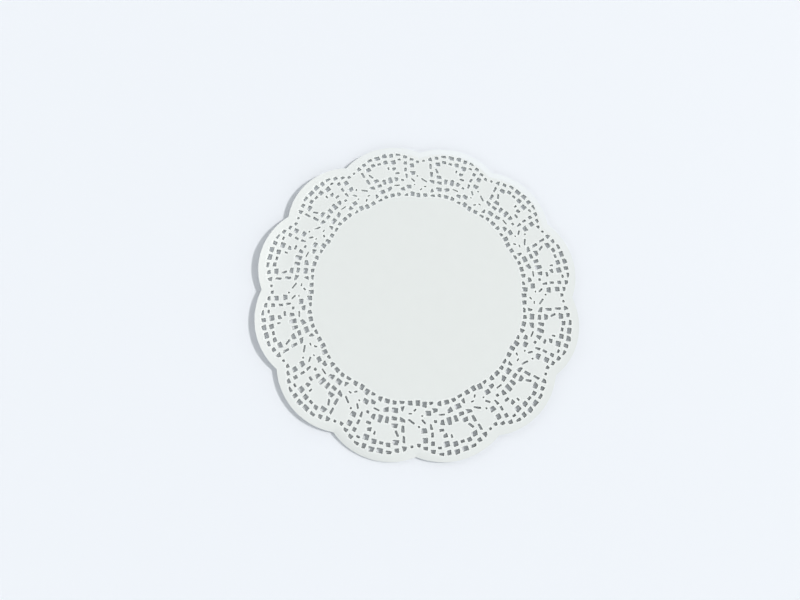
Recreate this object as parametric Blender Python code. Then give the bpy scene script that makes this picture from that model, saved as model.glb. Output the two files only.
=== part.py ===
"""A round paper lace doily: one die-cut, embossed sheet that lies on a table.

Units are metres and +Z is up. The origin is the centre of the sheet's underside. The sheet
lies flat at Z = 0, but for a few of its twelve lobes, whose margins have lifted a little.
Lobe 0 is the first one counter-clockwise from +X, and the notches between lobes are at 0, 30, 60 ...
degrees.
"""

import math
from typing import NamedTuple

import bmesh
import bpy
from mathutils import Vector
from mathutils.geometry import delaunay_2d_cdt

MM = 0.001

# Driving dimensions of the sheet.
LOBES = 12
LOBE_REACH = 150.0 * MM       # centre to the tip of a lobe: 300 mm overall
NOTCH_REACH = 142.5 * MM      # centre to the notch between two lobes
FLAT_REACH = 94.0 * MM        # the plain disc, which lies flat on the table
SHEET = 1.8 * MM              # thickness of the sheet, from table to the crests of its embossing
LOBE_STEPS = 16               # straight steps round one lobe's edge
FLAT_STEPS = 96               # points round the flat disc
LIFT_FROM = 125.0 * MM        # where the lace starts to rise from the table
LIFT_POWER = 2                # the rise steepens towards the edge

PAPER_COLOUR = (0.791, 0.823, 0.815, 1.0)
PAPER_ROUGHNESS = 0.85

REPEAT = math.tau / LOBES     # angle of one lobe and of one repeat of the lace


class Lobe(NamedTuple):
    """How one lobe departs from an even scallop that lies on the table, in millimetres."""

    reach: float          # how much farther out its tip is
    lift: float           # how far its tip has come up from the table


# Counter-clockwise from +X: the sheet has lifted along its far left side, and lies flat elsewhere.
LOBE_TABLE = (
    Lobe(reach=0.0, lift=0.0),
    Lobe(reach=0.0, lift=0.0),
    Lobe(reach=0.0, lift=0.0),
    Lobe(reach=0.2, lift=0.5),
    Lobe(reach=0.9, lift=1.7),
    Lobe(reach=0.2, lift=2.0),
    Lobe(reach=-0.5, lift=1.3),
    Lobe(reach=-0.3, lift=0.5),
    Lobe(reach=0.0, lift=0.0),
    Lobe(reach=-0.9, lift=0.0),
    Lobe(reach=-0.3, lift=0.0),
    Lobe(reach=0.3, lift=0.0),
)


class Gap(NamedTuple):
    """One punched gap of the lace, a block of four sides that may taper, slope and lean."""

    turn: float           # degrees clockwise from the repeat's first notch
    out: float            # millimetres from the centre of the doily
    wide: float           # size along the border, mm
    tall: float           # size across the border, mm
    tilt: float = 0.0     # degrees: the clockwise end is turned outwards
    narrow_out: float = 0.0   # share by which the outer side is shorter than the middle
    narrow_cw: float = 0.0    # share by which the clockwise side is shorter than the middle
    lean: float = 0.0     # how far the outer side is shifted clockwise, as a share of the height


# The largest gaps of one repeat, row by row from the edge to the plain disc.
GAP_TABLE = (
    # the row along the scalloped edge
    Gap(turn=4.2, out=136.3, wide=3.4, tall=3.7, tilt=14, narrow_out=0.3, narrow_cw=-0.35, lean=0.05),
    Gap(turn=12.75, out=141.2, wide=5.4, tall=4.0, narrow_cw=0.05, lean=-0.1),
    Gap(turn=15.7, out=142.0, wide=4.6, tall=4.1, tilt=5, narrow_out=0.2, narrow_cw=-0.1, lean=0.05),
    Gap(turn=18.5, out=141.3, wide=3.5, tall=4.1, tilt=2, lean=0.1),
    # the second row
    Gap(turn=7.7, out=132.2, wide=5.0, tall=4.1, tilt=6, narrow_out=0.2, lean=0.1),
    Gap(turn=10.3, out=135.2, wide=3.9, tall=3.4, tilt=6, narrow_out=0.05, narrow_cw=0.05, lean=-0.15),
    Gap(turn=15.6, out=135.3, wide=4.3, tall=4.1, tilt=5, narrow_out=0.05, narrow_cw=-0.05),
    Gap(turn=18.8, out=134.0, wide=5.0, tall=4.6, tilt=3, narrow_out=-0.05, narrow_cw=-0.05),
    Gap(turn=26.6, out=129.2, wide=4.3, tall=4.4, narrow_out=0.05),
    # beside the rose
    Gap(turn=5.6, out=120.4, wide=2.6, tall=5.6, narrow_out=-0.1, lean=-0.1),
    Gap(turn=9.2, out=118.7, wide=5.0, tall=3.5, tilt=5, narrow_out=0.22, narrow_cw=0.1),
    Gap(turn=26.9, out=121.1, wide=4.8, tall=4.1, narrow_out=-0.2),
    # under the rose
    Gap(turn=6.2, out=113.1, wide=5.0, tall=3.0, tilt=-14, narrow_cw=-0.33, lean=-0.4),
    Gap(turn=9.9, out=112.8, wide=4.6, tall=3.0, narrow_cw=-0.1),
    Gap(turn=12.85, out=115.2, wide=3.0, tall=5.4, narrow_out=-0.12, lean=-0.06),
    Gap(turn=15.85, out=115.9, wide=3.7, tall=6.4, narrow_out=0.15),
    Gap(turn=18.9, out=115.8, wide=3.2, tall=4.3, tilt=-6, narrow_out=-0.3, narrow_cw=0.18),
    # above the ribbon
    Gap(turn=10.3, out=106.0, wide=5.4, tall=4.2, tilt=3, lean=-0.05),
    Gap(turn=14.5, out=107.3, wide=4.8, tall=3.6, tilt=22, narrow_cw=0.26, lean=0.19),
    Gap(turn=21.2, out=104.9, wide=4.2, tall=3.3, narrow_out=0.15, narrow_cw=-0.3, lean=-0.1),
    Gap(turn=24.6, out=106.8, wide=4.7, tall=4.0, tilt=-6, lean=-0.1),
    # the row round the plain disc
    Gap(turn=-0.5, out=97.8, wide=3.6, tall=4.7, narrow_out=0.05, lean=-0.05),
    Gap(turn=3.4, out=98.1, wide=3.8, tall=3.8, tilt=5, narrow_cw=0.05, lean=-0.1),
    Gap(turn=15.0, out=99.9, wide=4.4, tall=3.7, narrow_out=-0.05),
    Gap(turn=26.2, out=99.2, wide=4.0, tall=4.8, tilt=-8, narrow_cw=0.1),
)


def clear_scene():
    """Removes whatever the scene starts with."""
    for thing in list(bpy.data.objects):
        bpy.data.objects.remove(thing, do_unlink=True)


def paper_material():
    """Plain white paper, matt and slightly cool."""
    paper = bpy.data.materials.new("paper")
    paper.use_nodes = True
    shader = paper.node_tree.nodes["Principled BSDF"]
    shader.inputs["Base Color"].default_value = PAPER_COLOUR
    shader.inputs["Roughness"].default_value = PAPER_ROUGHNESS
    shader.inputs["Metallic"].default_value = 0.0
    return paper


def at(angle, reach):
    """The point of the flat sheet at this angle and distance from the centre."""
    return Vector((reach * math.cos(angle), reach * math.sin(angle)))


def edge_points():
    """The scalloped outline: each lobe is an arc that starts and ends in a notch."""
    half = REPEAT / 2
    notch_x = NOTCH_REACH * math.cos(half)
    notch_y = NOTCH_REACH * math.sin(half)
    points = []
    for index, lobe in enumerate(LOBE_TABLE):
        axis = (index + 0.5) * REPEAT
        tip = LOBE_REACH + lobe.reach * MM
        # Centre of the arc, on the lobe's own axis, so that the arc passes the tip and both notches.
        centre = (tip**2 - NOTCH_REACH**2) / 2 / (tip - notch_x)
        radius = tip - centre
        sweep = math.atan2(notch_y, notch_x - centre)
        for step in range(LOBE_STEPS):
            turned = axis - sweep + 2 * sweep * step / LOBE_STEPS
            points.append(at(axis, centre) + at(turned, radius))
    return points


def gap_corners(gap, repeat):
    """The four corners of one gap in one repeat, counter-clockwise seen from above."""
    # A repeat runs clockwise from its notch, so its turn is taken off the notch's own angle.
    angle = repeat * REPEAT - math.radians(gap.turn)
    outward = at(angle, 1.0)
    clockwise = at(angle - math.pi / 2, 1.0)
    tilt = math.radians(gap.tilt)
    along = clockwise * math.cos(tilt) + outward * math.sin(tilt)
    across = outward * math.cos(tilt) - clockwise * math.sin(tilt)
    middle = at(angle, gap.out * MM)
    corners = []
    for side, end in ((-1, -1), (-1, 1), (1, 1), (1, -1)):
        x = side * gap.wide / 2 * (1 - gap.narrow_out * end) + gap.lean * end * gap.tall / 2
        y = end * gap.tall / 2 * (1 - gap.narrow_cw * side)
        corners.append(middle + (along * x + across * y) * MM)
    return corners[::-1]


def eased(share):
    """A share from 0 to 1 that starts and ends level."""
    return share * share * (3 - 2 * share)


def lift_at(point):
    """Height of the sheet's underside over the table, at this point of the flat sheet."""
    reach = point.length
    if reach <= LIFT_FROM:
        return 0.0
    turns = (math.atan2(point.y, point.x) % math.tau) / REPEAT - 0.5
    lobe = math.floor(turns)
    share = turns - lobe
    here = LOBE_TABLE[lobe % LOBES].lift
    following = LOBE_TABLE[(lobe + 1) % LOBES].lift
    tip = (here + (following - here) * eased(share)) * MM
    rise = (reach - LIFT_FROM) / (LOBE_REACH - LIFT_FROM)
    return tip * rise**LIFT_POWER


def flat_sheet():
    """The points and triangles of the flat sheet, with its edge and its gaps cut."""
    loops = [edge_points()]
    for repeat in range(LOBES):
        for gap in GAP_TABLE:
            loops.append(gap_corners(gap, repeat))
    loops.append([at(math.tau * step / FLAT_STEPS, FLAT_REACH) for step in range(FLAT_STEPS)])
    points = []
    rings = []
    for loop in loops:
        first = len(points)
        rings.append(list(range(first, first + len(loop))))
        points += loop
    points.append(Vector((0.0, 0.0)))
    # Output mode 2 keeps what lies inside the rings, with the rings' own edges as borders.
    found, _, faces, _, _, sources = delaunay_2d_cdt(points, [], rings, 1, 1e-7)
    first_gap = 1
    last_gap = LOBES * len(GAP_TABLE)
    kept = []
    for face, rings_over in zip(faces, sources):
        in_gap = any(first_gap <= ring <= last_gap for ring in rings_over)
        if 0 in rings_over and not in_gap:
            kept.append(face)
    return found, kept


def doily_mesh():
    """The sheet as one closed mesh, its underside lifted and its top one thickness above."""
    points, faces = flat_sheet()
    shape = bmesh.new()
    corners = [shape.verts.new((point.x, point.y, 0.0)) for point in points]
    for face in faces:
        shape.faces.new([corners[index] for index in face])
    loose = [corner for corner in shape.verts if not corner.link_faces]
    bmesh.ops.delete(shape, geom=loose, context="VERTS")
    for corner in shape.verts:
        corner.co.z = lift_at(corner.co.xy)
    raised = bmesh.ops.extrude_face_region(shape, geom=shape.faces[:])
    top = [item for item in raised["geom"] if isinstance(item, bmesh.types.BMVert)]
    bmesh.ops.translate(shape, vec=(0.0, 0.0, SHEET), verts=top)
    bmesh.ops.recalc_face_normals(shape, faces=shape.faces[:])
    mesh = bpy.data.meshes.new("doily")
    shape.to_mesh(mesh)
    shape.free()
    return mesh


def main():
    clear_scene()
    mesh = doily_mesh()
    mesh.materials.append(paper_material())
    doily = bpy.data.objects.new("doily", mesh)
    bpy.context.collection.objects.link(doily)


main()
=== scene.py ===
"""The looks of a round paper lace doily: one thin sheet, die-cut and embossed, on a pale table.

Units are metres and +Z is up. The sheet lies round the origin, with a notch of its scalloped edge at
+X and at every 30 degrees from there. Its lace is one repeat, built once and turned round the plain
disc in the middle.
"""

import logging
import math
from dataclasses import dataclass, field
from enum import Enum
from typing import NamedTuple

import bmesh
import bpy
from mathutils import Euler, Matrix, Vector

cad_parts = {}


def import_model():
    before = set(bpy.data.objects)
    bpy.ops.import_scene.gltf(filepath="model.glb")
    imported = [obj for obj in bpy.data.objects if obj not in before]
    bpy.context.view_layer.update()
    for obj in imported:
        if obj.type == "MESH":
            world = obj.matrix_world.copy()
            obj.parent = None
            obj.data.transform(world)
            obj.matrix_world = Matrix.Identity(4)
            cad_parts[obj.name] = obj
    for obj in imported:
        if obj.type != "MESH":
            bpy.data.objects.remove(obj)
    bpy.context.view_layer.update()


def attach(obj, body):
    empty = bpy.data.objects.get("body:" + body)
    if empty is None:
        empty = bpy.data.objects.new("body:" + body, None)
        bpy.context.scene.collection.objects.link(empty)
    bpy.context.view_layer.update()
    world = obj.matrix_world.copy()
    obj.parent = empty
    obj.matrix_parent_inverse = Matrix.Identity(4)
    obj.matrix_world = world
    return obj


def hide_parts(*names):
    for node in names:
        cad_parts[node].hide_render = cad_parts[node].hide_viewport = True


LOG = logging.getLogger("lace_doily")
MM = 0.001

MARGIN_LIGHT = "margin"  # mesh attribute: 1 where the margin's painted light is whitest
GAP_EDGE_HIGHLIGHT = "gap_edge_highlight"  # mesh attribute: 1 on the crests beside the gaps, where a highlight is painted
PAINTED_RIM_SHADE = "pressed"  # mesh attribute: 1 where the painted shade of the rims round the gaps is darkest

NEAR = 0.001 * MM  # points this near are one, and a point this near to height 0 is on the crests
WELD = 0.01 * MM  # points of neighbouring repeats that are this near are one

MIX_BELOW, MIX_OVER, MIX_RESULT = 6, 7, 2  # the colour sockets of a Mix node

SRGB_STRAIGHT_TO = 0.04045  # the sRGB curve: straight up to here, then a power
SRGB_SLOPE = 12.92
SRGB_OFFSET = 0.055
SRGB_POWER = 2.4

Colour = tuple[float, float, float, float]


def linear(hex_colour: str) -> Colour:
    """Turns an sRGB colour into the linear values that shaders take.

    Args:
        hex_colour: six hex digits, red first.

    Returns:
        Linear red, green and blue, with an alpha of one.
    """
    shares = [int(hex_colour[place : place + 2], 16) / 255 for place in (0, 2, 4)]
    red, green, blue = (
        share / SRGB_SLOPE
        if share <= SRGB_STRAIGHT_TO
        else ((share + SRGB_OFFSET) / (1 + SRGB_OFFSET)) ** SRGB_POWER
        for share in shares
    )
    return (red, green, blue, 1.0)


def add_node(
    tree: bpy.types.NodeTree,
    kind: str,
    settings: dict[str, object] | None = None,
    inputs: dict[str | int, object] | None = None,
) -> bpy.types.Node:
    """Adds one node with its settings, its plain input values and its links.

    Args:
        tree: the node tree that it joins.
        kind: the node's type name.
        settings: attributes of the node itself.
        inputs: for each input, a value, or the output socket that feeds it.

    Returns:
        The new node.
    """
    node = tree.nodes.new(kind)
    for name, value in (settings or {}).items():
        setattr(node, name, value)
    for name, value in (inputs or {}).items():
        if isinstance(value, bpy.types.NodeSocket):
            tree.links.new(value, node.inputs[name])
        else:
            node.inputs[name].default_value = value
    return node


def eased(share: float) -> float:
    """A share from 0 to 1 that starts and ends level."""
    return share * share * (3 - 2 * share)


# ---------------------------------------------------------------------------------------------
# The lace pattern
# ---------------------------------------------------------------------------------------------


class Row(Enum):
    """The rows of gaps in one repeat of the lace, from the scalloped edge inwards."""

    EDGE = "along the scalloped edge"
    SECOND = "behind the edge row"
    ROSE = "beside the rose and the leaf"
    FAN = "under the rose"
    RIBBON = "beside the ribbons"
    DISC = "round the plain disc"


class Gap(NamedTuple):
    """One punched gap, a block of four sides that may taper, slope and lean."""

    turn: float  # degrees clockwise from the repeat's first notch
    out: float  # millimetres from the centre of the doily
    wide: float  # size along the border, mm
    tall: float  # size across the border, mm
    tilt: float = 0.0  # degrees: the clockwise end is turned outwards
    narrow_out: float = 0.0  # share by which the outer side is shorter than the middle
    narrow_cw: float = 0.0  # share by which the clockwise side is shorter than the middle
    lean: float = 0.0  # how far the outer side is shifted clockwise, as a share of the height


# The columns are turn, out, wide, tall, tilt, narrow_out, narrow_cw and lean.
LACE: dict[Row, tuple[Gap, ...]] = {
    Row.EDGE: (
        Gap(1.6, 134.2, 2.3, 2.1, 5, 0.0, -0.15, 0.0),
        Gap(4.2, 136.3, 3.4, 3.7, 14, 0.3, -0.35, 0.05),
        Gap(6.9, 138.5, 3.6, 3.3, 8, 0.05, 0.15, -0.1),
        Gap(9.6, 141.1, 4.7, 2.6, 3, 0.1, -0.1, 0.0),
        Gap(12.75, 141.2, 5.4, 4.0, 0, 0.0, 0.05, -0.1),
        Gap(15.7, 142.0, 4.6, 4.1, 5, 0.2, -0.1, 0.05),
        Gap(18.5, 141.3, 3.5, 4.1, 2, 0.0, 0.0, 0.1),
        Gap(21.3, 141.5, 4.6, 2.2, -10, 0.1, 0.35, -0.1),
        Gap(24.05, 138.7, 3.9, 3.1, -10, 0.2, 0.15, -0.1),
        Gap(26.65, 135.7, 3.8, 2.7, -5, 0.15, 0.15, -0.1),
        Gap(29.1, 133.1, 3.0, 2.8, -8, 0.25, 0.1, -0.1),
    ),
    Row.SECOND: (
        Gap(4.8, 128.9, 2.2, 5.4, -10, -0.1, 0.0, -0.3),
        Gap(7.7, 132.2, 5.0, 4.1, 6, 0.2, 0.0, 0.1),
        Gap(10.3, 135.2, 3.9, 3.4, 6, 0.05, 0.05, -0.15),
        Gap(12.9, 134.8, 3.5, 2.4),
        Gap(15.6, 135.3, 4.3, 4.1, 5, 0.05, -0.05, 0.0),
        Gap(18.8, 134.0, 5.0, 4.6, 3, -0.05, -0.05, 0.0),
        Gap(21.5, 136.3, 3.2, 2.0, -5, 0.1, 0.0, 0.0),
        Gap(23.85, 132.1, 3.2, 3.5, -3, 0.0, 0.0, 0.05),
        Gap(26.6, 129.2, 4.3, 4.4, 0, 0.05, 0.0, 0.0),
    ),
    Row.ROSE: (
        Gap(5.6, 120.4, 2.6, 5.6, 0, -0.1, 0.0, -0.1),
        Gap(7.8, 124.8, 2.0, 5.2, 22, 0.0, 0.0, -0.2),
        Gap(9.2, 118.7, 5.0, 3.5, 5, 0.22, 0.1, 0.0),
        Gap(16.3, 128.4, 1.5, 3.0, 0, -0.2, 0.0, 0.0),
        Gap(18.7, 127.1, 3.8, 3.0, 14, 0.0, 0.25, 0.2),
        Gap(19.8, 122.1, 4.2, 2.2),
        Gap(23.7, 125.0, 2.2, 4.0, 0, 0.0, 0.0, 0.1),
        Gap(23.9, 118.3, 2.0, 4.6, -4, -0.35, 0.0, -0.2),
        Gap(26.9, 121.1, 4.8, 4.1, 0, -0.2, 0.0, 0.0),
        Gap(29.0, 117.9, 1.5, 1.7),
    ),
    Row.FAN: (
        Gap(6.2, 113.1, 5.0, 3.0, -14, 0.0, -0.33, -0.4),
        Gap(9.9, 112.8, 4.6, 3.0, 0, 0.0, -0.1, 0.0),
        Gap(12.85, 115.2, 3.0, 5.4, 0, -0.12, 0.0, -0.06),
        Gap(15.85, 115.9, 3.7, 6.4, 0, 0.15, 0.0, 0.0),
        Gap(18.9, 115.8, 3.2, 4.3, -6, -0.3, 0.18, 0.0),
        Gap(21.8, 114.2, 2.6, 2.3, -8, 0.05, 0.05, -0.1),
        Gap(2.3, 113.6, 6.4, 1.6, -33),
        Gap(26.9, 113.6, 4.6, 1.6, -48),
    ),
    Row.RIBBON: (
        Gap(18.6, 109.4, 5.5, 1.3, -5),
        Gap(10.3, 106.0, 5.4, 4.2, 3, 0.0, 0.0, -0.05),
        Gap(14.5, 107.3, 4.8, 3.6, 22, 0.0, 0.26, 0.19),
        Gap(21.2, 104.9, 4.2, 3.3, 0, 0.15, -0.3, -0.1),
        Gap(24.6, 106.8, 4.7, 4.0, -6, 0.0, 0.0, -0.1),
        Gap(6.9, 103.7, 2.4, 4.0, 8, 0.55, 0.2, 0.15),
        Gap(3.0, 107.1, 2.8, 1.1),
        Gap(0.9, 103.9, 2.8, 1.3, 45),
        Gap(27.5, 108.7, 1.8, 1.0),
    ),
    Row.DISC: (
        Gap(-0.5, 97.8, 3.6, 4.7, 0, 0.05, 0.0, -0.05),
        Gap(3.4, 98.1, 3.8, 3.8, 5, 0.0, 0.05, -0.1),
        Gap(7.6, 98.4, 4.2, 2.4, 5, 0.2, -0.1, 0.1),
        Gap(11.2, 99.7, 3.4, 3.2, 5, 0.1, -0.15, -0.1),
        Gap(15.0, 99.9, 4.4, 3.7, 0, -0.05, 0.0, 0.0),
        Gap(18.75, 99.9, 3.4, 3.7, -3, 0.0, 0.35, 0.0),
        Gap(22.7, 98.5, 3.4, 2.4, 5, 0.1, -0.25, 0.1),
        Gap(26.2, 99.2, 4.0, 4.8, -8, 0.0, 0.1, 0.0),
    ),
}


class SeamPoint(NamedTuple):
    """One point of the line where two repeats meet, which passes between their gaps."""

    out: float  # millimetres from the centre
    turn: float  # degrees clockwise from the notch


SEAM = (
    SeamPoint(126.0, 0.4),
    SeamPoint(118.0, 0.0),
    SeamPoint(112.0, 0.0),
    SeamPoint(107.5, -0.45),
    SeamPoint(103.5, -0.45),
    SeamPoint(101.0, -2.1),
    SeamPoint(95.5, -2.1),
)


class Lobe(NamedTuple):
    """How one lobe departs from an even scallop that lies on the table."""

    reach: float  # how much farther out its tip is, mm
    lift: float  # how far its tip has come up from the table, mm
    sink: float  # how far the edge of its margin has sunk within the sheet's own height, mm


# Counter-clockwise from +X: the sheet has lifted along its left side, sinks a little on its near side
# and lies flat elsewhere.
LOBES = (
    Lobe(reach=0.0, lift=0.0, sink=0.0),
    Lobe(reach=0.0, lift=0.0, sink=0.0),
    Lobe(reach=0.0, lift=0.0, sink=0.0),
    Lobe(reach=0.2, lift=0.5, sink=0.0),
    Lobe(reach=0.9, lift=1.7, sink=0.0),
    Lobe(reach=0.2, lift=2.0, sink=0.0),
    Lobe(reach=-0.5, lift=1.3, sink=0.0),
    Lobe(reach=-0.3, lift=0.5, sink=0.2),
    Lobe(reach=0.0, lift=0.0, sink=1.0),
    Lobe(reach=-0.9, lift=0.0, sink=0.3),
    Lobe(reach=-0.3, lift=0.0, sink=0.0),
    Lobe(reach=0.3, lift=0.0, sink=0.0),
)


# ---------------------------------------------------------------------------------------------
# Finishes
# ---------------------------------------------------------------------------------------------


@dataclass(frozen=True)
class DoilyPaper:
    """Uncoated wood-free paper, calendered, then pressed between warm embossing dies.

    The eye gets a dead matt, very slightly cool white, with a faint cloudiness from the way the fibres
    settle, and a fine tooth that only shows in raking light. The crests beside the gaps are drawn a
    touch whiter as a painted highlight. The rims inside them are painted a warm grey as shade, fuller
    the deeper they are pressed and darkest towards one side. The margin is painted whiter and cooler
    along one side, as light that falls on it.
    """

    name: str = "uncoated_doily_paper"
    white: str = "E8EBE9"
    cloud: str = "E5E8E6"
    # painted light: the whiter, cooler tone of the margin on its lit side
    margin: str = "F0F4F6"
    # painted highlight: the whiter tone of the crests beside the gaps
    gap_edge_highlight: str = "F1F4F2"
    # painted shade: the warm grey of the rims round the gaps
    rim_shade_colour: str = "585C53"
    cloud_size: float = 14.0 * MM
    cloud_detail: float = 4.0
    cloud_grain: float = 0.6
    fibre_size: float = 0.45 * MM  # coarser than real fibres, which are too fine to show
    fibre_detail: float = 5.0
    fibre_grain: float = 0.65
    fibre_height: float = 0.006 * MM
    roughness: float = 0.88
    ior: float = 1.47

    @staticmethod
    def blend(
        tree: bpy.types.NodeTree, attribute: str, below: bpy.types.NodeSocket, over: str
    ) -> bpy.types.NodeSocket:
        """Lays a colour over another by a mesh attribute.

        Args:
            tree: the material's node tree.
            attribute: name of the attribute, from 0 to 1.
            below: the colour where the attribute is 0.
            over: the sRGB colour where it is 1.

        Returns:
            The blended colour's socket.
        """
        share = add_node(tree, "ShaderNodeAttribute", settings={"attribute_name": attribute})
        mix = add_node(
            tree,
            "ShaderNodeMix",
            settings={"data_type": "RGBA"},
            inputs={"Factor": share.outputs["Fac"], MIX_BELOW: below, MIX_OVER: linear(over)},
        )
        return mix.outputs[MIX_RESULT]

    def tone(self, tree: bpy.types.NodeTree, place: bpy.types.NodeSocket) -> bpy.types.NodeSocket:
        """Builds the cloudy white, and lays over it the painted highlight of the crests, the painted light
        of the margin and the painted shade of the rims.

        Args:
            tree: the material's node tree.
            place: the coordinates that the cloudiness sits on.

        Returns:
            The colour's socket.
        """
        cloud = add_node(
            tree,
            "ShaderNodeTexNoise",
            inputs={
                "Vector": place,
                "Scale": 1 / self.cloud_size,
                "Detail": self.cloud_detail,
                "Roughness": self.cloud_grain,
            },
        )
        sheet = add_node(
            tree,
            "ShaderNodeMix",
            settings={"data_type": "RGBA"},
            inputs={
                "Factor": cloud.outputs["Fac"],
                MIX_BELOW: linear(self.white),
                MIX_OVER: linear(self.cloud),
            },
        )
        # painted highlight on the crests beside the gaps
        crests = self.blend(tree, GAP_EDGE_HIGHLIGHT, sheet.outputs[MIX_RESULT], self.gap_edge_highlight)
        # painted light on the margin
        loose = self.blend(tree, MARGIN_LIGHT, crests, self.margin)
        # painted shade on the rims round the gaps, deeper and towards one side darker
        return self.blend(tree, PAINTED_RIM_SHADE, loose, self.rim_shade_colour)

    def tooth(self, tree: bpy.types.NodeTree, place: bpy.types.NodeSocket) -> bpy.types.NodeSocket:
        """Builds the fine tooth of the fibres.

        Args:
            tree: the material's node tree.
            place: the coordinates that the fibres sit on.

        Returns:
            The socket of the surface's normal.
        """
        fibres = add_node(
            tree,
            "ShaderNodeTexNoise",
            inputs={
                "Vector": place,
                "Scale": 1 / self.fibre_size,
                "Detail": self.fibre_detail,
                "Roughness": self.fibre_grain,
            },
        )
        bump = add_node(
            tree,
            "ShaderNodeBump",
            inputs={"Height": fibres.outputs["Fac"], "Distance": self.fibre_height, "Strength": 1.0},
        )
        return bump.outputs["Normal"]

    def material(self) -> bpy.types.Material:
        """Builds the paper.

        Returns:
            A material whose cloudiness and fibres sit on object coordinates.
        """
        paper = bpy.data.materials.new(self.name)
        paper.use_nodes = True
        tree = paper.node_tree
        shader = tree.nodes["Principled BSDF"]
        shader.inputs["Roughness"].default_value = self.roughness
        shader.inputs["IOR"].default_value = self.ior
        place = add_node(tree, "ShaderNodeTexCoord").outputs["Object"]
        tree.links.new(self.tone(tree, place), shader.inputs["Base Color"])
        tree.links.new(self.tooth(tree, place), shader.inputs["Normal"])
        return paper


@dataclass(frozen=True)
class PaintedBoard:
    """White board with a matt paint, which gives the eye an even, cool white with no grain."""

    name: str = "matt_white_board"
    white: str = "F1F4F9"
    roughness: float = 0.9

    def material(self) -> bpy.types.Material:
        """Builds the paint.

        Returns:
            A material of one plain colour.
        """
        paint = bpy.data.materials.new(self.name)
        paint.use_nodes = True
        shader = paint.node_tree.nodes["Principled BSDF"]
        shader.inputs["Base Color"].default_value = linear(self.white)
        shader.inputs["Roughness"].default_value = self.roughness
        return paint


# ---------------------------------------------------------------------------------------------
# The doily
# ---------------------------------------------------------------------------------------------


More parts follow.
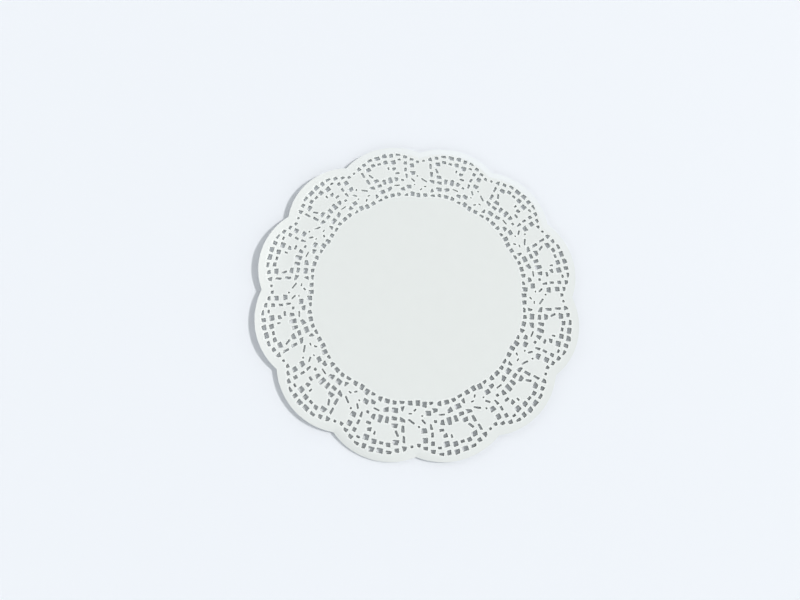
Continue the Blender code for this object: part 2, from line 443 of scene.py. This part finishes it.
@dataclass
class LaceRepeat:
    """One twelfth of the border, flat, with its crests at height 0 and its pressed rims below."""

    lobes: int = len(LOBES)
    reach: float = 150.0 * MM
    notch_reach: float = 142.5 * MM
    disc_reach: float = 93.5 * MM
    shoulder: float = 0.30 * MM  # width of the sloping shoulder round a gap
    shoulder_drop: float = 0.05 * MM
    wall: float = 0.03 * MM  # width of the upright wall inside the shoulder
    rim_drop: float = 1.75 * MM  # how far the rims are pressed down in all
    corner: float = 0.40 * MM  # how much of a gap's corners is cut off, beyond the rim
    corner_steps: int = 2
    lobe_steps: int = 40
    disc_steps: int = 24
    edge_step: float = 2.2 * MM  # longest straight step along the seams and the outline
    inner_steps: tuple[float, ...] = (8.0 * MM, 5.0 * MM, 3.2 * MM, 2.4 * MM)  # longest edge, each round
    even_times: int = 2  # how often the points between the gaps are evened out in each round
    even_share: float = 0.5  # how far each of them then moves towards the middle of its neighbours
    shape: bmesh.types.BMesh = field(default_factory=bmesh.new)

    @property
    def angle(self) -> float:
        """The angle of one repeat."""
        return math.tau / self.lobes

    @property
    def press(self) -> float:
        """How far the pressed rim reaches from the gap into the bars round it."""
        return self.shoulder + self.wall

    @staticmethod
    def point(turn: float, out: float) -> Vector:
        """The flat point at this angle clockwise from +Y and this distance from the centre."""
        return Vector((out * math.sin(turn), out * math.cos(turn), 0.0))

    def lobe_centre(self, tip: float) -> float:
        """Distance from the centre of the doily to the centre of a lobe's arc.

        Args:
            tip: distance from the centre of the doily to the lobe's tip.

        Returns:
            The distance that lets the arc pass the tip and both notches.
        """
        notch_along = self.notch_reach * math.cos(self.angle / 2)
        return (tip**2 - self.notch_reach**2) / 2 / (tip - notch_along)

    def outline(self, place: Vector, extra: float) -> float:
        """Distance from the centre to the scalloped edge, in the direction of a point.

        Args:
            place: the point of the flat sheet.
            extra: how much farther out the lobe's tip is than an even one.

        Returns:
            The distance in metres.
        """
        turn = math.atan2(place.y, place.x) % self.angle - self.angle / 2
        tip = self.reach + extra
        centre = self.lobe_centre(tip)
        radius = tip - centre
        return centre * math.cos(turn) + math.sqrt(radius**2 - (centre * math.sin(turn)) ** 2)

    def turn_verts(self, verts: list[bmesh.types.BMVert], angle: float) -> None:
        """Turns points clockwise round the centre by an angle in radians."""
        turned = Matrix.Rotation(-angle, 3, "Z")
        bmesh.ops.rotate(self.shape, verts=verts, cent=(0, 0, 0), matrix=turned)

    def block(self, gap: Gap) -> bmesh.types.BMFace:
        """Lays down one gap's block, grown by the width of its pressed rim, with round corners.

        Args:
            gap: the row of the lace table.

        Returns:
            The block's face, in its place in the repeat.
        """
        verts = bmesh.ops.create_grid(self.shape, x_segments=1, y_segments=1, size=1.0)["verts"]
        grown = self.press / MM
        for vert in verts:
            side = round(vert.co.x)
            end = round(vert.co.y)
            along = side * (gap.wide / 2 * (1 - gap.narrow_out * end) + grown)
            across = end * (gap.tall / 2 * (1 - gap.narrow_cw * side) + grown)
            vert.co = Vector((along + gap.lean * end * gap.tall / 2, across, 0.0)) * MM
        self.turn_verts(verts, -math.radians(gap.tilt))
        bmesh.ops.translate(self.shape, verts=verts, vec=(0.0, gap.out * MM, 0.0))
        self.turn_verts(verts, math.radians(gap.turn))
        corner = self.corner + self.press
        made = bmesh.ops.bevel(
            self.shape,
            geom=verts,
            offset=corner,
            offset_type="OFFSET",
            segments=self.corner_steps,
            profile=0.5,
            affect="VERTICES",
            clamp_overlap=True,
            material=-1,
        )
        return made["verts"][0].link_faces[0]

    def press_rims(self, blocks: list[bmesh.types.BMFace]) -> None:
        """Presses each block's rim down in a shoulder and a wall, and opens the gap inside it.

        Args:
            blocks: the faces of the blocks, which are used up.
        """
        wall_drop = self.rim_drop - self.shoulder_drop
        for width, drop in ((self.shoulder, self.shoulder_drop), (self.wall, wall_drop)):
            bmesh.ops.inset_individual(
                self.shape, faces=blocks, thickness=width, depth=-drop, use_even_offset=True
            )
        bmesh.ops.delete(self.shape, geom=blocks, context="FACES_ONLY")

    def arc(self, start: bmesh.types.BMVert, centre: Vector, angle: float, steps: int) -> None:
        """Draws an arc of edges, clockwise round a centre.

        Args:
            start: the point where the arc starts.
            centre: the centre of the arc.
            angle: how far it turns, in radians.
            steps: how many edges it has.
        """
        bmesh.ops.spin(
            self.shape,
            geom=[start],
            cent=centre,
            axis=(0, 0, 1),
            dvec=(0, 0, 0),
            angle=-angle,
            steps=steps,
            use_merge=False,
            use_duplicate=False,
        )

    def border(self) -> None:
        """Draws the repeat's own border: both seams, the scalloped edge and the rim of the disc."""
        half = self.angle / 2
        inner_turn = math.radians(SEAM[-1].turn)
        places = [self.point(0.0, self.notch_reach)]
        places += [self.point(math.radians(at.turn), at.out * MM) for at in SEAM]
        places.append(self.point(inner_turn, self.disc_reach))
        seam = [self.shape.verts.new(place) for place in places]
        lines = [self.shape.edges.new(pair) for pair in zip(seam, seam[1:])]
        copied = bmesh.ops.duplicate(self.shape, geom=seam + lines)["geom"]
        self.turn_verts([part for part in copied if isinstance(part, bmesh.types.BMVert)], self.angle)
        centre = self.lobe_centre(self.reach)
        ahead = self.notch_reach * math.cos(half) - centre
        sweep = 2 * math.atan2(self.notch_reach * math.sin(half), ahead)
        self.arc(seam[0], self.point(half, centre), sweep, self.lobe_steps)
        self.arc(seam[-1], Vector((0, 0, 0)), self.angle, self.disc_steps)
        bmesh.ops.remove_doubles(self.shape, verts=self.shape.verts[:], dist=NEAR)
        long_edges = self.long_wires()
        while long_edges:
            bmesh.ops.subdivide_edges(self.shape, edges=long_edges, cuts=1)
            long_edges = self.long_wires()

    def long_wires(self) -> list[bmesh.types.BMEdge]:
        """The border's edges that are still longer than one step."""
        wires = [edge for edge in self.shape.edges if edge.is_wire]
        return [edge for edge in wires if edge.calc_length() > self.edge_step]

    @staticmethod
    def level(part: bmesh.types.BMFace | bmesh.types.BMEdge) -> bool:
        """Whether a face or an edge lies in the plane of the crests."""
        return all(abs(vert.co.z) < NEAR for vert in part.verts)

    def fill(self) -> None:
        """Fills the crests between the border and the rims with one even mesh of triangles."""
        open_edges = [edge for edge in self.shape.edges if len(edge.link_faces) < 2 and self.level(edge)]
        bmesh.ops.triangle_fill(self.shape, edges=open_edges, use_beauty=True, normal=(0, 0, 1))
        for longest in self.inner_steps:
            split = [edge for edge in self.inner_edges() if edge.calc_length() > longest]
            bmesh.ops.subdivide_edges(self.shape, edges=split, cuts=1)
            crests = [face for face in self.shape.faces if self.level(face)]
            bmesh.ops.triangulate(self.shape, faces=[face for face in crests if len(face.verts) > 3])
            crests = [face for face in self.shape.faces if self.level(face)]
            bmesh.ops.beautify_fill(self.shape, faces=crests, edges=self.inner_edges())
            free = [vert for vert in self.shape.verts if all(map(self.level, vert.link_faces))]
            free = [vert for vert in free if not vert.is_boundary]
            for _ in range(self.even_times):
                bmesh.ops.smooth_vert(
                    self.shape, verts=free, factor=self.even_share, use_axis_x=True, use_axis_y=True
                )

    def inner_edges(self) -> list[bmesh.types.BMEdge]:
        """The edges between two faces that both lie in the plane of the crests."""
        return [
            edge
            for edge in self.shape.edges
            if len(edge.link_faces) == 2 and all(map(self.level, edge.link_faces))
        ]

    def build(self) -> bmesh.types.BMesh:
        """Builds the repeat.

        Returns:
            The repeat's mesh, one face thick, from the notch at +Y clockwise.
        """
        blocks = [self.block(gap) for row in LACE.values() for gap in row]
        self.press_rims(blocks)
        self.border()
        self.fill()
        return self.shape


@dataclass
class Doily:
    """The whole sheet: twelve lace repeats round a plain disc, pressed, curled and given its thickness."""

    name: str = "lace_sheet"
    crest: float = 1.8 * MM  # top of the sheet over the table
    paper: float = 0.35 * MM
    lift_from: float = 125.0 * MM  # where the lace starts to rise from the table
    curl_power: int = 2  # the rise, or the sinking, steepens towards the edge
    disc_rings: int = 5
    sharp: float = math.radians(8)  # a bend over this is a crease
    rim_shade_full_depth: float = 0.15 * MM  # depth below the crests from which a rim's painted shade is full
    rim_shade_darkest_towards: float = math.radians(280)  # counter-clockwise from +X: where the rims' painted shade is darkest
    rim_shade_lighter_share: float = 0.5  # share by which the rims' painted shade is lighter on the opposite side
    margin_width: float = 7.5 * MM  # plain paper outside the gaps
    margin_light_blend: float = 3.5 * MM  # over which the margin's painted light fades in
    margin_light_towards: float = math.radians(65)  # counter-clockwise from +X: where the margin's painted light is whitest
    margin_light_spread: float = math.radians(75)  # how far round from there it is back to the sheet's own tone
    size: tuple[float, float] = (300 * MM, 300 * MM)  # of the flat sheet
    net_area: float = 0.060  # square metres of paper, less its gaps
    finish: DoilyPaper = DoilyPaper()
    repeat: LaceRepeat = field(default_factory=LaceRepeat)

    def disc(self, shape: bmesh.types.BMesh) -> None:
        """Adds the plain disc, as rings whose outer points meet the lace's own.

        Args:
            shape: the joined repeats.
        """
        steps = self.repeat.lobes * self.repeat.disc_steps
        reach = self.repeat.disc_reach
        verts = bmesh.ops.create_circle(shape, cap_ends=True, segments=steps, radius=reach)["verts"]
        self.repeat.turn_verts(verts, math.radians(SEAM[-1].turn))
        middle = verts[0].link_faces[0]
        for _ in range(self.disc_rings):
            bmesh.ops.inset_individual(shape, faces=[middle], thickness=reach / (self.disc_rings + 1))
        bmesh.ops.poke(shape, faces=[middle])

    def painted_margin_light(self, place: Vector) -> float:
        """How far a point of the flat sheet has the painted light of the margin, whiter along one side.

        Args:
            place: the point of the flat sheet.

        Returns:
            A share from 0 to 1.
        """
        inside = self.repeat.outline(place, 0.0) - place.length
        share = (self.margin_width - inside) / self.margin_light_blend
        turn = math.atan2(place.y, place.x) - self.margin_light_towards
        away = abs(math.remainder(turn, math.tau)) / self.margin_light_spread
        return eased(min(max(share, 0.0), 1.0)) * eased(max(1 - away, 0.0))

    def painted_rim_shade(self, place: Vector, depth: float) -> float:
        """How far a point of the flat sheet has the painted shade of a rim, fuller the deeper it lies.

        Args:
            place: the point of the flat sheet.
            depth: how far it is pressed below the crests.

        Returns:
            A share from 0 to 1.
        """
        turn = math.atan2(place.y, place.x) - self.rim_shade_darkest_towards
        less = self.rim_shade_lighter_share * (1 - math.cos(turn)) / 2
        return min(depth / self.rim_shade_full_depth, 1.0) * (1 - less)

    def lobe_at(self, place: Vector) -> Lobe:
        """How the sheet departs from an even one at a point, blended between the two nearest lobes.

        Args:
            place: the point of the flat sheet.

        Returns:
            The blend of the two rows of the lobe table.
        """
        turns = (math.atan2(place.y, place.x) % math.tau) / self.repeat.angle - 0.5
        index = math.floor(turns)
        share = eased(turns - index)
        here = LOBES[index % len(LOBES)]
        following = LOBES[(index + 1) % len(LOBES)]
        return Lobe(*(low + (high - low) * share for low, high in zip(here, following)))

    def lift(self, place: Vector) -> float:
        """How far the sheet is over or under its even height, as its lobes curl up or sink.

        Args:
            place: the point of the sheet. Only its place in plan counts.

        Returns:
            The height in metres, less than 0 where the margin sinks.
        """
        lobe = self.lobe_at(place)
        rise = (place.xy.length - self.lift_from) / (self.repeat.reach - self.lift_from)
        inside = self.repeat.outline(place, 0.0) - place.xy.length
        fall = min(1 - inside / self.margin_width, 1.0)
        up = lobe.lift * max(rise, 0.0) ** self.curl_power
        down = lobe.sink * max(fall, 0.0) ** self.curl_power
        return (up - down) * MM

    def outwards(self, place: Vector) -> Vector:
        """How far a point of the margin moves for its lobe's own reach.

        Args:
            place: the point of the flat, even sheet.

        Returns:
            The shift, straight away from the centre of the doily.
        """
        index = math.floor((math.atan2(place.y, place.x) % math.tau) / self.repeat.angle)
        even = self.repeat.outline(place, 0.0)
        own = self.repeat.outline(place, LOBES[index].reach * MM)
        share = max(1 - (even - place.length) / self.margin_width, 0.0)
        return place.normalized() * (own - even) * share

    def join(self) -> bmesh.types.BMesh:
        """Joins the twelve repeats and the disc.

        Returns:
            The flat sheet, one face thick, with its crests at height 0 and its rims pressed down.
        """
        shape = self.repeat.build()
        lobes = self.repeat.lobes
        bmesh.ops.spin(
            shape,
            geom=shape.verts[:] + shape.edges[:] + shape.faces[:],
            cent=(0, 0, 0),
            axis=(0, 0, 1),
            dvec=(0, 0, 0),
            angle=math.tau * (lobes - 1) / lobes,
            steps=lobes - 1,
            use_merge=False,
            use_duplicate=True,
        )
        self.disc(shape)
        bmesh.ops.remove_doubles(shape, verts=shape.verts[:], dist=WELD)
        return shape

    def settle(self, shape: bmesh.types.BMesh) -> None:
        """Marks where each point has painted light, highlight or shade, and moves it to its place over the
        table.

        Args:
            shape: the flat sheet.
        """
        # painted light of the margin
        margin = shape.verts.layers.float.new(MARGIN_LIGHT)
        # painted highlight of the crests beside the gaps
        gap_edge_highlight = shape.verts.layers.float.new(GAP_EDGE_HIGHLIGHT)
        # painted shade of the rims round the gaps
        pressed = shape.verts.layers.float.new(PAINTED_RIM_SHADE)
        rims = [face for face in shape.faces if not self.repeat.level(face)]
        beside_gaps = {vert for rim in rims for vert in rim.verts}
        for vert in shape.verts:
            flat = Vector((vert.co.x, vert.co.y, 0.0))
            vert[margin] = self.painted_margin_light(flat)
            vert[gap_edge_highlight] = float(vert in beside_gaps)
            vert[pressed] = self.painted_rim_shade(flat, -vert.co.z)
            vert.co += self.outwards(flat)
            height = self.crest + vert.co.z + self.lift(vert.co)
            vert.co.z = max(height, self.crest - self.repeat.rim_drop)

    def thicken(self, shape: bmesh.types.BMesh) -> None:
        """Gives the sheet its thickness, downwards, with its faces pointing out.

        Args:
            shape: the settled sheet.
        """
        bmesh.ops.recalc_face_normals(shape, faces=shape.faces[:])
        top = max(shape.faces, key=bmesh.types.BMFace.calc_area)
        if top.normal.z < 0:
            bmesh.ops.reverse_faces(shape, faces=shape.faces[:])
        bmesh.ops.solidify(shape, geom=shape.faces[:], thickness=self.paper)
        bmesh.ops.triangulate(shape, faces=[face for face in shape.faces if len(face.verts) > 3])
        bmesh.ops.recalc_face_normals(shape, faces=shape.faces[:])

    def mesh(self) -> bpy.types.Mesh:
        """Makes the sheet's own mesh.

        Returns:
            One closed mesh, in place.
        """
        shape = self.join()
        self.settle(shape)
        self.thicken(shape)
        made = bpy.data.meshes.new(self.name)
        shape.to_mesh(made)
        open_edges = sum(not edge.is_manifold for edge in shape.edges)
        LOG.info("%s: %d triangles, %d open edges", self.name, len(shape.faces), open_edges)
        shape.free()
        made.shade_smooth()
        made.set_sharp_from_angle(angle=self.sharp)
        return made

    def build(self, table: bpy.types.Object) -> bpy.types.Object:
        """Args:
            table: what the sheet lies on; not used.

        Returns:
            The finished piece.
        """
        mesh = self.mesh()
        mesh.materials.append(self.finish.material())
        piece = bpy.data.objects.new(self.name, mesh)
        bpy.context.scene.collection.objects.link(piece)
        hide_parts("doily")
        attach(piece, "root")
        return piece


# ---------------------------------------------------------------------------------------------
# The setting
# ---------------------------------------------------------------------------------------------


@dataclass
class Table:
    """The pale surface that the doily lies on, a stage and no part of the object."""

    name: str = "table_top"
    side: float = 6.0
    depth: float = 0.02 * MM  # how far it lies under the sheet, so that no faces share a plane
    finish: PaintedBoard = PaintedBoard()

    def build(self) -> bpy.types.Object:
        """Builds the surface.

        Returns:
            The stage's object.
        """
        shape = bmesh.new()
        bmesh.ops.create_grid(shape, x_segments=1, y_segments=1, size=self.side / 2)
        bmesh.ops.translate(shape, verts=shape.verts[:], vec=(0, 0, -self.depth))
        mesh = bpy.data.meshes.new(self.name)
        shape.to_mesh(mesh)
        shape.free()
        mesh.materials.append(self.finish.material())
        top = bpy.data.objects.new(self.name, mesh)
        bpy.context.scene.collection.objects.link(top)
        return top


@dataclass
class Studio:
    """A low main light from the right and soft fill from walls all round."""

    lamp_name: str = "main_light"
    level: float = 1.015  # light that falls on the table, where 1 shows its own colour
    fill_share: float = 0.63
    main_rise: float = math.radians(25)
    main_from: float = math.radians(13.45)  # counter-clockwise from +X
    main_width: float = math.radians(3)
    wall: float = 2.6  # brightness of the fill near the horizon
    ceiling: float = 0.3  # brightness of the fill overhead
    wall_top: float = math.radians(40)
    main_tint: tuple[float, float, float] = (1.018, 1.0, 0.985)
    fill_tint: tuple[float, float, float] = (0.95, 0.985, 1.003)
    mean_steps: int = 400  # heights over the horizon that the mean of the fill is taken from

    def glow(self, rise: float) -> float:
        """Brightness of the fill at a height over the horizon, in radians."""
        share = min(max(rise / self.wall_top, 0.0), 1.0)
        return self.wall + (self.ceiling - self.wall) * eased(share)

    def mean_glow(self) -> float:
        """Brightness of an even sky that would light the table as the fill does.

        Returns:
            The mean, weighted by how much each height adds on a level surface.
        """
        step = math.pi / 2 / self.mean_steps
        rises = [(index + 0.5) * step for index in range(self.mean_steps)]
        return sum(self.glow(rise) * math.sin(2 * rise) * step for rise in rises)

    def main_light(self) -> None:
        """Sets up the low main light."""
        lamp = bpy.data.lights.new(self.lamp_name, "SUN")
        lamp.energy = (1 - self.fill_share) * self.level * math.pi / math.sin(self.main_rise)
        lamp.angle = self.main_width
        lamp.color = self.main_tint
        holder = bpy.data.objects.new(self.lamp_name, lamp)
        flat = math.cos(self.main_rise)
        towards = Vector(
            (flat * math.cos(self.main_from), flat * math.sin(self.main_from), math.sin(self.main_rise))
        )
        holder.rotation_euler = towards.to_track_quat("Z", "Y").to_euler()
        bpy.context.scene.collection.objects.link(holder)

    def fill(self) -> None:
        """Sets up the fill, a glow from all round that is brightest near the horizon."""
        world = bpy.data.worlds.new("studio_walls")
        bpy.context.scene.world = world
        world.use_nodes = True
        tree = world.node_tree
        place = add_node(tree, "ShaderNodeTexCoord").outputs["Generated"]
        height = add_node(tree, "ShaderNodeSeparateXYZ", inputs={"Vector": place}).outputs["Z"]
        rise = add_node(tree, "ShaderNodeMath", {"operation": "ARCSINE"}, {0: height}).outputs[0]
        scale = self.fill_share * self.level / self.mean_glow()
        strength = add_node(
            tree,
            "ShaderNodeMapRange",
            settings={"interpolation_type": "SMOOTHSTEP"},
            inputs={
                "Value": rise,
                "From Min": 0.0,
                "From Max": self.wall_top,
                "To Min": self.wall * scale,
                "To Max": self.ceiling * scale,
            },
        )
        glow = tree.nodes["Background"]
        glow.inputs["Color"].default_value = (*self.fill_tint, 1.0)
        tree.links.new(strength.outputs["Result"], glow.inputs["Strength"])

    def build(self) -> None:
        """Sets up both lights, and has colours shown as they are."""
        self.main_light()
        self.fill()
        bpy.context.scene.view_settings.view_transform = "Standard"


@dataclass
class Camera:
    """The eye, nearly overhead and a little in front of the doily."""

    place: Vector = field(default_factory=lambda: Vector((-24.39, -92.41, 391.64)) * MM)
    turned: tuple[float, float, float] = (12.354, -1.407, 1.142)  # degrees about X, Y and Z
    lens: float = 19.755  # mm
    sensor: float = 36.0  # width in mm
    clip_start: float = 0.01
    over: float = 1.8 * MM  # height of the surface that the place is measured from

    def build(self) -> None:
        """Sets up the camera and makes it the scene's own."""
        eye = bpy.data.cameras.new("camera")
        eye.sensor_width = self.sensor
        eye.lens = self.lens
        eye.clip_start = self.clip_start
        holder = bpy.data.objects.new("camera", eye)
        holder.location = self.place + Vector((0.0, 0.0, self.over))
        holder.rotation_euler = Euler([math.radians(angle) for angle in self.turned], "XYZ")
        bpy.context.scene.collection.objects.link(holder)
        bpy.context.scene.camera = holder


def main() -> None:
    """Loads the frame, builds the scene round it, and reports each piece."""
    logging.basicConfig(level=logging.INFO, format="%(name)s: %(message)s")
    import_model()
    Camera().build()
    Studio().build()
    table = Table().build()
    LOG.info("%s: the stage", table.name)
    for row, gaps in LACE.items():
        LOG.info("gaps %s: %d in each repeat", row.value, len(gaps))
    piece = Doily().build(table)
    LOG.info("%s: finished", piece.name)


if __name__ == "__main__":
    main()
